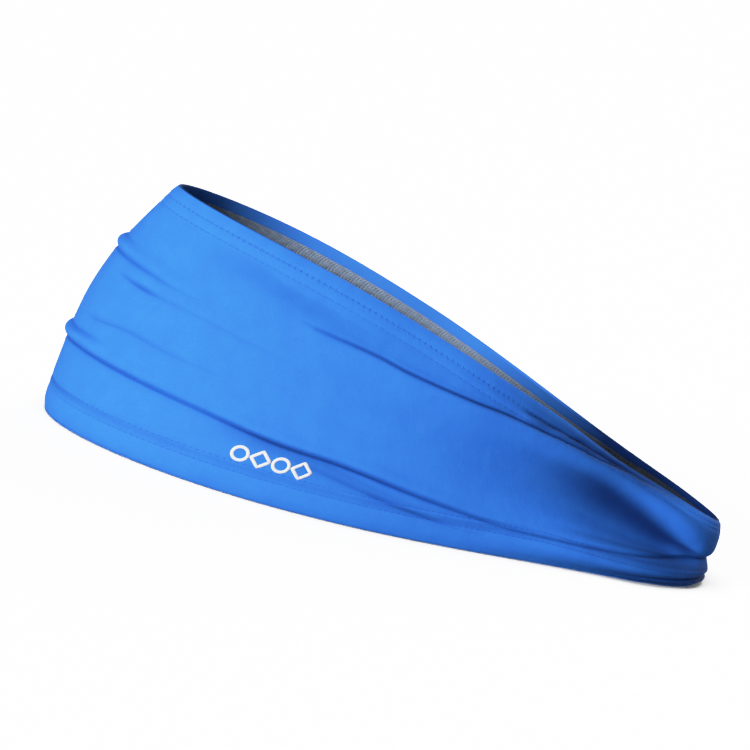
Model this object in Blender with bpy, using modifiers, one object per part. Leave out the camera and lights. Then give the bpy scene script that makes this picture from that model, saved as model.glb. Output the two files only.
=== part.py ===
"""Wide tapered sports headband: one knit panel closed at the nape, with two coverstitched hems.

The band stands on its lower hem. Forehead towards -Y, nape towards +Y, the wearer's left
towards +X, up +Z. The origin is on the floor, under the middle of the lower edge.
"""
import math
from types import SimpleNamespace

import bmesh
import bpy
import numpy as np

# Overall sizes, in metres
LENGTH = 0.224            # lower edge, forehead to nape
LOWER_WIDTH = 0.106       # lower edge, side to side
UPPER_WIDTH = 0.068       # upper edge, side to side
FRONT_HEIGHT = 0.0795     # upper edge above the floor at the forehead
NAPE_HEIGHT = 0.021       # the same at the gathered nape
FRONT_SETBACK = 0.022     # upper edge behind the lower edge at the forehead
NAPE_SETBACK = 0.0013     # upper edge before the lower edge at the nape

# How each edge runs, seen from above
LOWER_FRONT_ROUND = 0.080       # length over which the forehead end rounds in
UPPER_FRONT_ROUND = 0.073
LOWER_BACK_ROUND = 0.036        # length over which the nape end rounds in
UPPER_BACK_ROUND = 0.018
LOWER_NAPE_WIDTH = 0.060        # width just before the nape end
UPPER_NAPE_WIDTH = 0.030
LOWER_NARROWING_START = 0.140   # distance before the nape where the band starts to narrow
UPPER_NARROWING_START = 0.105
LOWER_NARROWING_LENGTH = 0.130  # distance over which it narrows
UPPER_NARROWING_LENGTH = 0.075

# How the wall runs from the lower edge to the upper edge
CROWN = 0.0059          # the upper edge bows up between forehead and nape
CROWN_FORWARD = 0.0013  # and more so towards the forehead
WALL_BULGE = 0.0015     # outward fullness of the wall at the forehead
LEAN_POWER = 1.5        # 1 is a straight wall; more keeps it upright near the lower edge
PLAN_STEP = 0.004               # fraction round, either side, that gives the plan direction
SLOPE_STEP = 0.002              # fraction either side that gives the slope of the wall

# Cloth, hems and thread
KNIT_THICKNESS = 0.0008
FOLD_GAP = 0.0003               # air between the wall and its turned-in hem
FOLD_BEVEL = 0.0005             # how far the fold's corners are cut back
UPPER_NEEDLE_ROWS = (0.0042, 0.0072)  # distance of the two needle rows from the upper edge
LOWER_NEEDLE_ROWS = (0.0080, 0.0110)  # and from the lower edge
RAW_EDGE_MARGIN = 0.0014        # turned-in cloth past the second needle row
HEM_FULL_HEIGHT = 0.042         # where the wall is lower, the hems are gathered in proportion
THREAD_DIAMETER = 0.00036
LOOPER_THICKNESS = 0.00030
CLEARANCE = 0.0003              # air between any two pieces

# Closing seam at the nape
SEAM_GAP = 0.0006               # between the panel's two butted ends
SEAM_NEEDLE_SPACING = 0.0050    # between the two needle rows
SEAM_LOOPER_OVERHANG = 0.0006   # looper width past each needle row
SEAM_CLEARANCE = 0.0006         # inside, where the loop bends hard

# Heat-transfer prints
PRINT_THICKNESS = 0.00015
SIDE_MARK_LENGTH = 0.0232
SIDE_MARK_HEIGHT = 0.0056
SIDE_MARK_FROM_FRONT = 0.077    # its middle, behind the forehead end of the lower edge
CARE_MARK_LENGTH = 0.020
CARE_MARK_HEIGHT = 0.012
CARE_MARK_FROM_BACK = 0.060     # its middle, before the nape end

# Facets
LOOP_SEGMENTS = 96
WALL_SEGMENTS = 7               # between the two hems
SEAM_SEGMENTS = 8
PRINT_SEGMENTS = (12, 3)
OUTLINE_SAMPLES = 600


def edge(front, back, width, front_round, back_round, nape_width, narrowing_start,
         narrowing_length):
    """One edge of the band seen from above, as named sizes."""
    return SimpleNamespace(
        front=front, back=back, half=width / 2, front_round=front_round,
        back_round=back_round, nape_half=nape_width / 2,
        narrowing_from=back - narrowing_start, narrowing_length=narrowing_length)


LOWER = edge(-LENGTH / 2, LENGTH / 2, LOWER_WIDTH, LOWER_FRONT_ROUND, LOWER_BACK_ROUND,
             LOWER_NAPE_WIDTH, LOWER_NARROWING_START, LOWER_NARROWING_LENGTH)
UPPER = edge(-LENGTH / 2 + FRONT_SETBACK, LENGTH / 2 - NAPE_SETBACK, UPPER_WIDTH,
             UPPER_FRONT_ROUND, UPPER_BACK_ROUND, UPPER_NAPE_WIDTH,
             UPPER_NARROWING_START, UPPER_NARROWING_LENGTH)


def quarter_round(distance, length):
    """0 at a tip, 1 once past length: the height of a quarter ellipse."""
    t = np.clip(distance / length, 0.0, 1.0)
    return np.sqrt(1.0 - (1.0 - t) ** 2)


def half_width(outline, y):
    """Distance from the middle plane to the edge at y."""
    t = np.clip((y - outline.narrowing_from) / outline.narrowing_length, 0.0, 1.0)
    ease = t * t * (3.0 - 2.0 * t)
    width = outline.half + (outline.nape_half - outline.half) * ease
    return (width * quarter_round(y - outline.front, outline.front_round)
            * quarter_round(outline.back - y, outline.back_round))


def whole_loop(outline):
    """The edge as x, y and travelled fraction, from the nape round the left side and back."""
    turn = np.linspace(0.0, math.pi, OUTLINE_SAMPLES)
    middle = (outline.back + outline.front) / 2
    reach = (outline.back - outline.front) / 2
    y = middle + reach * np.cos(turn)
    x = half_width(outline, y)
    x = np.concatenate([x, -x[-2::-1]])
    y = np.concatenate([y, y[-2::-1]])
    travelled = np.concatenate([[0.0], np.cumsum(np.hypot(np.diff(x), np.diff(y)))])
    return x, y, travelled / travelled[-1], travelled[-1]


LOWER_X, LOWER_Y, LOWER_S, LOWER_ROUND = whole_loop(LOWER)
UPPER_X, UPPER_Y, UPPER_S, UPPER_ROUND = whole_loop(UPPER)


def crown_height(y):
    """Height of the upper edge: falls to the nape, with a slight bow."""
    t = (y - UPPER.front) / (UPPER.back - UPPER.front)
    return (FRONT_HEIGHT + (NAPE_HEIGHT - FRONT_HEIGHT) * t
            + CROWN * np.sin(math.pi * t) + CROWN_FORWARD * np.sin(2 * math.pi * t))


def wall(s, h):
    """Point on the outside of the band: s is the fraction round, h runs 0 to 1 upwards."""
    s, h = np.broadcast_arrays(np.asarray(s, float) % 1.0, np.asarray(h, float))
    low = np.stack([np.interp(s, LOWER_S, LOWER_X), np.interp(s, LOWER_S, LOWER_Y)], -1)
    high = np.stack([np.interp(s, UPPER_S, UPPER_X), np.interp(s, UPPER_S, UPPER_Y)], -1)
    top = crown_height(high[..., 1])
    plan = low + (high - low) * (h ** LEAN_POWER)[..., None]
    ahead = np.stack([np.interp((s + PLAN_STEP) % 1.0, LOWER_S, LOWER_X),
                      np.interp((s + PLAN_STEP) % 1.0, LOWER_S, LOWER_Y)], -1)
    behind = np.stack([np.interp((s - PLAN_STEP) % 1.0, LOWER_S, LOWER_X),
                       np.interp((s - PLAN_STEP) % 1.0, LOWER_S, LOWER_Y)], -1)
    along = ahead - behind
    along /= np.linalg.norm(along, axis=-1, keepdims=True)
    outward = np.stack([-along[..., 1], along[..., 0]], -1)
    fullness = WALL_BULGE * top / FRONT_HEIGHT * np.sin(math.pi * h)
    plan = plan + outward * fullness[..., None]
    return np.concatenate([plan, (top * h)[..., None]], -1)


def wall_normal(s, h):
    """Outward unit normal of the wall."""
    low, high = np.clip(h - SLOPE_STEP, 0.0, 1.0), np.clip(h + SLOPE_STEP, 0.0, 1.0)
    across = wall(s, high) - wall(s, low)
    along = wall(s + SLOPE_STEP, h) - wall(s - SLOPE_STEP, h)
    normal = np.cross(across, along)
    return normal / np.linalg.norm(normal, axis=-1, keepdims=True)


def wall_length(s):
    """Length of the wall from edge to edge at s, measured along its slant."""
    return np.linalg.norm(wall(s, 1.0) - wall(s, 0.0), axis=-1)


def hem_scale(s):
    """1 where the wall is high; less at the nape, where the hems are gathered with it."""
    return np.minimum(1.0, wall(s, 1.0)[..., 2] / HEM_FULL_HEIGHT)


def level(s, edge_name, distance):
    """Height fraction at a sewing distance from the lower or the upper edge."""
    share = distance * hem_scale(s) / wall_length(s)
    return share if edge_name == "lower" else 1.0 - share


def offset_wall(s, h, outward):
    """Point off the wall by outward, along the wall's own normal."""
    return wall(s, h) + wall_normal(s, h) * outward


def sheet(name, points, thickness, closed=False):
    """A cloth-like solid: a grid laid through points[i][j], given its thickness inwards."""
    rows, columns = points.shape[:2]
    grid = bmesh.new()
    bmesh.ops.create_grid(grid, x_segments=rows - 1, y_segments=columns - 1, size=1.0)
    for vert in grid.verts:
        i = round((vert.co.x + 1.0) / 2.0 * (rows - 1))
        j = round((vert.co.y + 1.0) / 2.0 * (columns - 1))
        vert.co = points[i, j]
    if closed:
        bmesh.ops.remove_doubles(grid, verts=grid.verts, dist=1e-6)
    mesh = bpy.data.meshes.new(name)
    grid.to_mesh(mesh)
    grid.free()
    piece = bpy.data.objects.new(name, mesh)
    solidify = piece.modifiers.new("thickness", "SOLIDIFY")
    solidify.thickness = thickness
    solidify.offset = -1.0
    solidify.use_even_offset = True
    mesh.shade_smooth()
    mesh.set_sharp_from_angle(angle=math.radians(35))
    return piece


def thread(name, points, closed):
    """A sewing thread laid through points."""
    curve = bpy.data.curves.new(name, "CURVE")
    curve.dimensions = "3D"
    curve.bevel_depth = THREAD_DIAMETER / 2
    curve.bevel_resolution = 0
    curve.use_fill_caps = True
    spline = curve.splines.new("POLY")
    spline.points.add(len(points) - 1)
    for target, point in zip(spline.points, points):
        target.co = (*point, 1.0)
    spline.use_cyclic_u = closed
    return bpy.data.objects.new(name, curve)


def knit_panel():
    """The panel: turned in at the upper edge, down the outside, turned in at the lower edge."""
    half_slit = SEAM_GAP / 2 / UPPER_ROUND
    s = np.linspace(half_slit, 1.0 - half_slit, LOOP_SEGMENTS + 1)
    depth = 2 * KNIT_THICKNESS + FOLD_GAP
    upper_allowance = UPPER_NEEDLE_ROWS[1] + RAW_EDGE_MARGIN
    lower_allowance = LOWER_NEEDLE_ROWS[1] + RAW_EDGE_MARGIN
    columns = []

    def station(h, inward):
        columns.append(offset_wall(s, h, -inward))

    def turned_edge(edge_name, allowance, rows):
        """Inside of one hem, from its raw edge over the fold to the outside."""
        scale = hem_scale(s)
        station(level(s, edge_name, allowance), depth)
        for row in reversed(rows):
            station(level(s, edge_name, row), depth)
        station(level(s, edge_name, FOLD_BEVEL / scale), depth)
        station(level(s, edge_name, 0.0), depth - FOLD_BEVEL)
        station(level(s, edge_name, 0.0), FOLD_BEVEL)
        station(level(s, edge_name, FOLD_BEVEL / scale), 0.0)
        for row in rows:
            station(level(s, edge_name, row), 0.0)

    turned_edge("lower", lower_allowance, LOWER_NEEDLE_ROWS)
    for flat in (columns[4], columns[5]):
        flat[:, 2] = 0.0
    lower_part = columns[::-1]
    columns = []
    turned_edge("upper", upper_allowance, UPPER_NEEDLE_ROWS)
    top, bottom = level(s, "upper", UPPER_NEEDLE_ROWS[1]), level(s, "lower", LOWER_NEEDLE_ROWS[1])
    for share in np.linspace(0.0, 1.0, WALL_SEGMENTS + 1)[1:-1]:
        station(top + (bottom - top) * share, 0.0)
    return sheet("knit_panel", np.stack(columns + lower_part, 1), KNIT_THICKNESS)


def hem_needle_thread(name, edge_name, distance):
    """One needle row of a hem, just off the outside."""
    s = np.linspace(0.0, 1.0, LOOP_SEGMENTS, endpoint=False)
    outward = CLEARANCE + THREAD_DIAMETER / 2
    return thread(name, offset_wall(s, level(s, edge_name, distance), outward), closed=True)


def hem_looper_thread(name, edge_name, rows):
    """The looper thread of a hem: a flat ring inside, from one needle row to the other."""
    s = np.linspace(0.0, 1.0, LOOP_SEGMENTS + 1)
    inward = 2 * KNIT_THICKNESS + FOLD_GAP + CLEARANCE
    near, far = (rows[1], rows[0]) if edge_name == "lower" else (rows[0], rows[1])
    points = [offset_wall(s, level(s, edge_name, row), -inward) for row in (near, far)]
    return sheet(name, np.stack(points, 1), LOOPER_THICKNESS, closed=True)


def seam_span(s):
    """Height fractions between the two hems' raw edges."""
    low = level(s, "lower", LOWER_NEEDLE_ROWS[1] + 2 * RAW_EDGE_MARGIN)
    high = level(s, "upper", UPPER_NEEDLE_ROWS[1] + 2 * RAW_EDGE_MARGIN)
    return low, high


def seam_needle_thread(name, side):
    """One needle row of the closing seam, on the outside, between the two hems."""
    s = np.full(SEAM_SEGMENTS + 1, side * SEAM_NEEDLE_SPACING / 2 / UPPER_ROUND)
    low, high = seam_span(s)
    h = low + (high - low) * np.linspace(0.0, 1.0, SEAM_SEGMENTS + 1)
    return thread(name, offset_wall(s, h, CLEARANCE + THREAD_DIAMETER / 2), closed=False)


def seam_looper_thread(name):
    """The looper thread of the closing seam: a flat strip inside, across the butted ends."""
    reach = (SEAM_NEEDLE_SPACING / 2 + SEAM_LOOPER_OVERHANG) / UPPER_ROUND
    across = np.linspace(-reach, reach, 5)[:, None]
    low, high = seam_span(np.zeros(1))
    h = (high + (low - high) * np.linspace(0.0, 1.0, SEAM_SEGMENTS + 1))[None, :]
    inward = KNIT_THICKNESS + SEAM_CLEARANCE
    s, h = np.broadcast_arrays(across, h)
    return sheet(name, offset_wall(s, h, -inward), LOOPER_THICKNESS)


def travelled_at(y, side):
    """Fraction round the lower edge at y, on the left side (1) or the right side (-1)."""
    half = len(LOWER_Y) // 2 + 1
    s = np.interp(-y, -LOWER_Y[:half], LOWER_S[:half])
    return s if side > 0 else 1.0 - s


def transfer_print(name, y, side, base, length, height, outward):
    """A thin printed film that follows the wall; base is its distance above the lower edge."""
    middle = travelled_at(y, side)
    along, up = PRINT_SEGMENTS
    reach = length / 2 / LOWER_ROUND
    s = np.linspace(middle - reach, middle + reach, along + 1)[:, None]
    h = (base + height * np.linspace(1.0, 0.0, up + 1))[None, :] / wall_length(s)
    s, h = np.broadcast_arrays(s, h)
    return sheet(name, offset_wall(s, h, outward), PRINT_THICKNESS)


def side_mark():
    """The generic white mark low on the left side, standing on the hem's second needle row."""
    outward = 2 * CLEARANCE + PRINT_THICKNESS
    base = LOWER_NEEDLE_ROWS[1] + THREAD_DIAMETER / 2 + 2 * CLEARANCE
    return transfer_print("side_mark", LOWER.front + SIDE_MARK_FROM_FRONT, 1, base,
                          SIDE_MARK_LENGTH, SIDE_MARK_HEIGHT, outward)


def inside_care_mark():
    """The care print on the inside, above the lower hem at the right of the nape."""
    base = LOWER_NEEDLE_ROWS[1] + 2 * RAW_EDGE_MARGIN
    return transfer_print("inside_care_mark", LOWER.back - CARE_MARK_FROM_BACK, -1, base,
                          CARE_MARK_LENGTH, CARE_MARK_HEIGHT,
                          -(KNIT_THICKNESS + 2 * CLEARANCE))


def finish(piece, color, roughness, collection):
    """Gives a piece its own material and puts it in the collection."""
    material = bpy.data.materials.new(piece.name)
    material.use_nodes = True
    shader = material.node_tree.nodes["Principled BSDF"]
    shader.inputs["Base Color"].default_value = (*color, 1.0)
    shader.inputs["Roughness"].default_value = roughness
    shader.inputs["Metallic"].default_value = 0.0
    material.diffuse_color = (*color, 1.0)
    piece.data.materials.append(material)
    collection.objects.link(piece)


def main():
    for old in list(bpy.data.objects):
        bpy.data.objects.remove(old, do_unlink=True)
    collection = bpy.data.collections.new("sports_headband")
    bpy.context.scene.collection.children.link(collection)

    knit_blue = (0.06, 0.30, 0.86)
    thread_blue = (0.05, 0.25, 0.78)
    looper_grey = (0.42, 0.46, 0.56)
    print_white = (0.90, 0.92, 0.95)
    print_grey = (0.55, 0.58, 0.63)
    cloth_roughness, thread_roughness, print_roughness = 0.85, 0.60, 0.45

    finish(knit_panel(), knit_blue, cloth_roughness, collection)
    for edge_name, rows in (("upper", UPPER_NEEDLE_ROWS), ("lower", LOWER_NEEDLE_ROWS)):
        for row_name, distance in zip(("outer", "inner"), rows):
            name = f"{edge_name}_hem_{row_name}_needle_thread"
            finish(hem_needle_thread(name, edge_name, distance), thread_blue,
                   thread_roughness, collection)
        finish(hem_looper_thread(f"{edge_name}_hem_looper_thread", edge_name, rows),
               looper_grey, thread_roughness, collection)
    for side_name, side in (("left", 1), ("right", -1)):
        finish(seam_needle_thread(f"nape_seam_{side_name}_needle_thread", side), thread_blue,
               thread_roughness, collection)
    finish(seam_looper_thread("nape_seam_looper_thread"), looper_grey, thread_roughness,
           collection)
    finish(side_mark(), print_white, print_roughness, collection)
    finish(inside_care_mark(), print_grey, print_roughness, collection)


main()
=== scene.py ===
# %% [markdown]
# # A wide stretch-knit sports headband
#
# The band is one panel of smooth jersey, deep over the forehead and gathered narrow at the nape.
# Both long edges are turned in and held by a two-needle coverstitch, and one flat seam at the
# nape closes the loop. The CAD model gives its size and place. This script makes the cloth.
#
# Everything is in metres: forehead towards -Y, nape towards +Y, the wearer's left towards +X.

# %% Load the frame
import math

import bpy
import numpy as np
from mathutils import Matrix, Vector


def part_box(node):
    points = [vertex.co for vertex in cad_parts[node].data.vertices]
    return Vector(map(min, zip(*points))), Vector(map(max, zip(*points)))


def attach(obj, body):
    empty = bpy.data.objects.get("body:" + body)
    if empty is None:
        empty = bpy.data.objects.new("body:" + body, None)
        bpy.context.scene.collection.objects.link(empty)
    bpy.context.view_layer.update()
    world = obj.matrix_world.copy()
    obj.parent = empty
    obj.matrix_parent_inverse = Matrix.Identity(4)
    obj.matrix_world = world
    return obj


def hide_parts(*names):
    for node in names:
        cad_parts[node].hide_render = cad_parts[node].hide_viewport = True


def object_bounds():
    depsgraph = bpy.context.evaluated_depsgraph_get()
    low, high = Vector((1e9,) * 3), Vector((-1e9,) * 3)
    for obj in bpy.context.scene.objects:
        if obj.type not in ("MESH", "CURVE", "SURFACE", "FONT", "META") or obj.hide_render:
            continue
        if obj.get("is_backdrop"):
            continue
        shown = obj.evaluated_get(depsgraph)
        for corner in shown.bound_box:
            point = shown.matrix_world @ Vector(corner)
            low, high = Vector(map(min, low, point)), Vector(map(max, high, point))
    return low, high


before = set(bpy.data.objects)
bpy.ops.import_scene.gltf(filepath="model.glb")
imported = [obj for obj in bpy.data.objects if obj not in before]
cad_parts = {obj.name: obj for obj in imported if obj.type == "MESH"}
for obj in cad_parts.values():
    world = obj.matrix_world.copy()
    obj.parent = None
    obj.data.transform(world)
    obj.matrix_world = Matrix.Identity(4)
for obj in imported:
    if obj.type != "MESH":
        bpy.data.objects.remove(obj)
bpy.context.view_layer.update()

# %% [markdown]
# ## The two edges
#
# Seen from above each edge is an egg: round at the forehead, widest by the temples, narrowing
# to the nape. A formula, rather than a spline, keeps left and right alike and lets every later
# piece ask "where is the cloth here?". The main sizes are read from the CAD panel's box.

# %% Sizes of the two edges
MM = 0.001
panel_low, panel_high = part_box("knit_panel")
LENGTH = 0.224
LOWER_HALF_WIDTH = (panel_high.x - panel_low.x) / 2
FRONT_HEIGHT = panel_high.z + 0.2 * MM
NAPE_HEIGHT = 21 * MM

LOWER = dict(front=-LENGTH / 2, back=LENGTH / 2, half=LOWER_HALF_WIDTH, nape_half=30 * MM,
             front_round=80 * MM, back_round=36 * MM, narrow_from=-28 * MM, narrow_over=130 * MM)
UPPER = dict(front=-90 * MM, back=110.7 * MM, half=34 * MM, nape_half=15 * MM,
             front_round=73 * MM, back_round=18 * MM, narrow_from=5.7 * MM, narrow_over=75 * MM)


def quarter_round(distance, length):
    """Height of a quarter ellipse: 0 at its tip and 1 once distance reaches length."""
    t = np.clip(distance / length, 0.0, 1.0)
    return np.sqrt(1.0 - (1.0 - t) ** 2)


def whole_loop(edge, samples=900):
    """The edge from the nape round the left side and back: x, y and the fraction travelled.

    Half width = full width, eased down to the nape's width, times a quarter ellipse at each
    end. The right side is the left side mirrored."""
    turn = np.linspace(0.0, math.pi, samples)
    y = (edge["back"] + edge["front"]) / 2 + (edge["back"] - edge["front"]) / 2 * np.cos(turn)
    t = np.clip((y - edge["narrow_from"]) / edge["narrow_over"], 0.0, 1.0)
    x = edge["half"] + (edge["nape_half"] - edge["half"]) * t * t * (3 - 2 * t)
    x = x * quarter_round(y - edge["front"], edge["front_round"])
    x = x * quarter_round(edge["back"] - y, edge["back_round"])
    x, y = np.concatenate([x, -x[-2::-1]]), np.concatenate([y, y[-2::-1]])
    gone = np.concatenate([[0.0], np.cumsum(np.hypot(np.diff(x), np.diff(y)))])
    return x, y, gone / gone[-1], gone[-1]


LOWER_LOOP, UPPER_LOOP = whole_loop(LOWER), whole_loop(UPPER)
LOWER_ROUND, UPPER_ROUND = LOWER_LOOP[3], UPPER_LOOP[3]
ROUND = (LOWER_ROUND + UPPER_ROUND) / 2
print("round the lower and upper edges in mm:", round(LOWER_ROUND / MM), round(UPPER_ROUND / MM))

# %% [markdown]
# ## The smooth wall between the edges
#
# Before any fold is laid in, the cloth is a smooth wall between its edges. Ruled straight it
# would look like a paper cone, so it stays upright near the lower edge and leans in more and
# more towards the upper one, as cloth does on a head.
# A point on it has two numbers: s, the fraction of the way round from the nape, and h, the
# height from 0 at the lower edge to 1 at the upper edge.

# %% The wall as a function of s and h
CROWN, CROWN_FORWARD = 5.9 * MM, 1.3 * MM
WALL_BULGE = 1.5 * MM
LEAN_POWER = 1.5
PLAN_STEP = 0.004
LEFT_SAG, LEFT_SAG_AT, LEFT_SAG_WIDTH = 1.3 * MM, 192 * MM, 20 * MM
RIGHT_RISE, RIGHT_RISE_AT, RIGHT_RISE_WIDTH = 0.7 * MM, -170 * MM, 50 * MM


def on_loop(loop, s):
    """x, y on an edge at the fraction s."""
    return np.stack([np.interp(s, loop[2], loop[0]), np.interp(s, loop[2], loop[1])], -1)


def crown_height(y):
    """Height of the upper edge: a straight fall to the nape plus one and two half waves."""
    t = (y - UPPER["front"]) / (UPPER["back"] - UPPER["front"])
    return (FRONT_HEIGHT + (NAPE_HEIGHT - FRONT_HEIGHT) * t
            + CROWN * np.sin(math.pi * t) + CROWN_FORWARD * np.sin(2 * math.pi * t))


def edge_sway(s):
    """The upper edge sags where it is gathered on the left and stands higher on the right:
    two bells, set out round from the forehead, positive to the left."""
    from_brow = (0.5 - s) * ROUND
    return (RIGHT_RISE * np.exp(-((from_brow - RIGHT_RISE_AT) / RIGHT_RISE_WIDTH) ** 2)
            - LEFT_SAG * np.exp(-((from_brow - LEFT_SAG_AT) / LEFT_SAG_WIDTH) ** 2))


def wall(s, h):
    """Lower edge point + (upper - lower) * h ** LEAN_POWER in plan, height * h, and a bulge."""
    s, h = np.broadcast_arrays(np.asarray(s, float) % 1.0, np.asarray(h, float))
    low, high = on_loop(LOWER_LOOP, s), on_loop(UPPER_LOOP, s)
    top = crown_height(high[..., 1]) + edge_sway(s)
    plan = low + (high - low) * (np.clip(h, 0, 1) ** LEAN_POWER)[..., None]
    along = (on_loop(LOWER_LOOP, (s + PLAN_STEP) % 1.0)
             - on_loop(LOWER_LOOP, (s - PLAN_STEP) % 1.0))
    along /= np.linalg.norm(along, axis=-1, keepdims=True)
    outward = np.stack([-along[..., 1], along[..., 0]], -1)
    plan = plan + outward * (WALL_BULGE * top / FRONT_HEIGHT * np.sin(math.pi * h))[..., None]
    return np.concatenate([plan, (top * h)[..., None]], -1)


def wall_normal(s, h, step=0.003):
    """Outward unit normal: the cross product of the steps up and round."""
    low, high = np.clip(h - step, 0.0, 1.0), np.clip(h + step, 0.0, 1.0)
    normal = np.cross(wall(s, high) - wall(s, low), wall(s + step, h) - wall(s - step, h))
    return normal / np.linalg.norm(normal, axis=-1, keepdims=True)


def wall_length(s):
    """Length of the wall from edge to edge at s, along its slant."""
    return np.linalg.norm(wall(s, 1.0) - wall(s, 0.0), axis=-1)


print("wall length at the forehead and the nape in mm:",
      np.round(wall_length(np.array([0.5, 0.0])) / MM, 1))

# %% [markdown]
# ## Folds
#
# The panel is cut deeper than the band stands, so it lies in long soft folds that run round
# the head and gather towards the nape. A cloth simulation would put them somewhere else each
# time its settings change. Here each fold is laid along its own line.
#
# Two shapes are enough. A *roll* is a rounded ridge, or a hollow when its height is negative.
# A *crease* is a narrow groove where one side of the cloth laps a little over the other.
# Each is a list of stations: the distance round from the middle of the forehead (positive on
# the left), the height h, how high or deep it is there, and for a roll its half width.

# %% Fold lines, in mm round from the forehead and mm of depth
ROLLS = {
    "brow_upper": [(-62, .735, 0, 2.6), (-36, .728, .5, 2.0), (-10, .714, .35, 1.6),
                   (6, .711, .3, 1.6), (20, .708, .3, 2.2), (36, .704, 0, 3.0)],
    "brow_lower": [(-64, .360, 0, 2.6), (-38, .350, .6, 2.0), (-8, .330, .4, 1.6),
                   (8, .334, .35, 1.6), (22, .340, .3, 2.2), (40, .338, 0, 3.0)],
    "under_hem": [(14, .900, 0, 4), (31, .878, -.5, 4), (47, .884, -.9, 4), (60, .870, -.9, 4),
                  (76, .863, -.8, 4), (94, .850, 0, 4)],
    "nape_ridge": [(70, .745, 0, 5), (100, .742, .9, 5), (125, .745, 1.7, 5), (150, .758, 2.3, 5),
                   (175, .782, 2.6, 4.6), (200, .805, 2.3, 4.4), (215, .800, 1.9, 4.4),
                   (230, .770, 1.2, 5), (247, .760, .9, 5.5)],
    "nape_hollow": [(110, .600, 0, 12), (130, .590, -.8, 11), (150, .570, -2.4, 10),
                    (175, .555, -5.2, 8.6), (195, .550, -7.2, 7.2), (208, .530, -7.4, 6.0),
                    (217, .495, -6.4, 4.8), (224, .455, -3.6, 3.6), (229, .430, -1.4, 2.8),
                    (236, .410, -.6, 2.6), (247, .410, -.6, 2.4)],
    "brow": [(-170, .600, 0, 20), (-110, .600, 1.4, 22), (-50, .600, 2.4, 24), (40, .600, 2.4, 24),
             (95, .600, 1.0, 22), (140, .600, 0, 20)],
    "nape_low_ridge": [(150, .140, 0, 3), (175, .150, 1.0, 3), (192, .165, 1.4, 3),
                       (208, .205, 1.4, 2.8), (226, .290, .3, 2.4), (247, .300, -.8, 3.0)],
    "nape_waist": [(205, .360, 0, 6), (226, .340, -.9, 6), (247, .330, -1.2, 6)],
}
CREASES = {
    "brow_upper": (1, [(-74, .70, 0), (-40, .694, .8), (-4, .688, .9), (11, .685, .8),
                       (23, .682, .6), (31, .677, .3), (42, .675, 0)]),
    "brow_upper_top": (-1, [(-60, .762, 0), (-35, .756, .5), (-10, .745, .6), (3, .743, .4),
                            (13, .742, 0)]),
    "temple_short": (1, [(11, .632, 0), (17, .625, .5), (25, .621, .8), (31, .622, .35),
                         (42, .623, .2), (60, .614, .15), (76, .610, 0)]),
    "temple_faint": (1, [(6, .430, 0), (16, .438, .35), (27, .456, .45), (41, .450, .3),
                         (53, .450, .15), (64, .450, 0)]),
    "brow_lower_top": (-1, [(-62, .388, 0), (-36, .380, .5), (-8, .363, .6), (5, .360, .7),
                            (15, .368, .45), (25, .372, 0)]),
    "long_lower": (1, [(-80, .305, 0), (-42, .306, .9), (-4, .301, 1.0), (12, .308, 1.0),
                       (30, .307, 1.0), (59, .296, .9), (81, .277, 1.3), (103, .276, 1.3),
                       (133, .236, 1.0), (158, .205, .7), (176, .215, .8), (192, .242, 1.0),
                       (208, .305, 1.1), (226, .400, 1.1), (247, .400, .8)]),
    "long_upper": (-1, [(68, .774, 0), (78, .777, .6), (96, .787, 1.0), (107, .784, 1.1),
                        (129, .810, 1.3), (143, .838, 1.3), (156, .849, 1.2), (171, .866, 1.1),
                        (183, .880, 1.0), (197, .928, .7), (209, .955, .4), (218, .970, 0)]),
    "mark_wedge": (1, [(84, .238, 0), (95, .222, .35), (116, .176, .6), (127, .152, .7),
                       (140, .130, .35), (152, .120, 0)]),
    "nape_low": (1, [(188, .050, 0), (202, .070, .8), (216, .105, 1.2), (232, .150, 1.3),
                     (247, .165, 1.2)]),
}
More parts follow.
